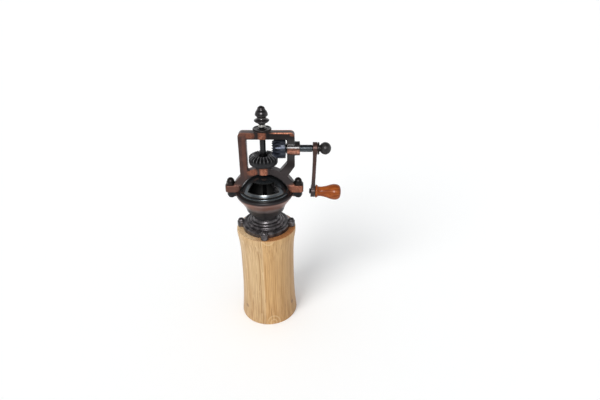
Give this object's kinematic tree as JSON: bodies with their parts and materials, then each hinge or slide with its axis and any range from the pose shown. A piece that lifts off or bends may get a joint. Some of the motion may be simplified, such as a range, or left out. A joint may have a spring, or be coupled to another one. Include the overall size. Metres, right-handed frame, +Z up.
{
  "type": "hand spice grinder",
  "caption": "Old-style hand spice grinder: turned oak body, cast hopper with domed lid and sliding door, and an open bevel gear frame with side crank and wooden knob.",
  "frame": {"origin": "middle of the footprint on the surface that the grinder stands on; the body's own axis is 19 mm towards -X from it, because the crank reaches out to +X", "axes": "+Z up along the body, +X towards the crank, -Y towards the lid's filling window"},
  "size_m": [0.1166, 0.0632, 0.2429],
  "materials": {
    "oak_body": "oiled oak with straight upright grain, satin",
    "copper_casting": "antique copper: dark brown casting worn to copper on its faces and edges",
    "dark_casting": "dark bronze, lightly worn, semi-gloss",
    "black_gloss": "glossy black plating",
    "gear_black": "blackened, satin",
    "bright_steel": "bright wire and small screws",
    "burr_steel": "hardened steel, dull",
    "knob_wood": "reddish hardwood under clear varnish"
  },
  "bodies": {
    "grinder": {"wood_body": "oak_body", "base_flange": "dark_casting", "flange_screw_1": "dark_casting", "flange_screw_2": "dark_casting", "flange_screw_3": "dark_casting", "flange_screw_4": "dark_casting", "hopper_bowl": "copper_casting", "dome_cover": "black_gloss", "door_clip": "bright_steel", "yoke_frame": "copper_casting", "lug_bolt_left": "dark_casting", "acorn_nut_left": "dark_casting", "lug_bolt_right": "dark_casting", "acorn_nut_right": "dark_casting", "top_washer": "dark_casting", "outer_burr": "burr_steel", "burr_bridge": "burr_steel", "burr_screw_1": "bright_steel", "burr_screw_2": "bright_steel", "burr_screw_3": "bright_steel"},
    "lid_door": {"dome_door": "black_gloss", "door_knob": "black_gloss"},
    "gear": {"bevel_gear": "gear_black"},
    "upright_shaft": {"main_shaft": "dark_casting", "inner_burr": "burr_steel", "burr_nut": "bright_steel", "burr_spring": "bright_steel"},
    "finial": {"finial_nut": "black_gloss", "finial_spring": "bright_steel"},
    "crank": {"crank_shaft": "dark_casting", "bevel_pinion": "gear_black", "crank_arm": "copper_casting", "arm_washer": "dark_casting", "ball_nut": "black_gloss", "knob_pin": "dark_casting"},
    "knob": {"wood_knob": "knob_wood"}
  },
  "joints": [
    {"name": "gear_spin", "type": "hinge", "parent": "grinder", "child": "gear", "pos_m": [-0.01899, 0, 0.1909], "axis": [0, 0, 1], "continuous": true},
    {"name": "crank_spin", "type": "hinge", "parent": "grinder", "child": "crank", "pos_m": [0, 0, 0.2009], "axis": [1, 0, 0], "continuous": true},
    {"name": "knob_spin", "type": "hinge", "parent": "crank", "child": "knob", "pos_m": [0.02991, 0, 0.1544], "axis": [0.999, 0, -0.0436], "continuous": true},
    {"name": "finial_turn", "type": "hinge", "parent": "gear", "child": "finial", "pos_m": [-0.01899, 0, 0.23], "axis": [0, 0, 1], "range_deg": [-450, 450]},
    {"name": "shaft_lift", "type": "slide", "parent": "gear", "child": "upright_shaft", "axis": [0, 0, 1], "range_m": [-0.001, 0.001]},
    {"name": "door_slide", "type": "hinge", "parent": "grinder", "child": "lid_door", "pos_m": [-0.01899, 0, 0.16], "axis": [0, 0, 1], "range_deg": [-83, 0]}
  ],
  "couplings": [
    {"joint": "crank_spin", "follows": "gear_spin", "ratio": 1.5},
    {"joint": "finial_turn", "follows": "shaft_lift", "rad_per_m": -7854}
  ]
}
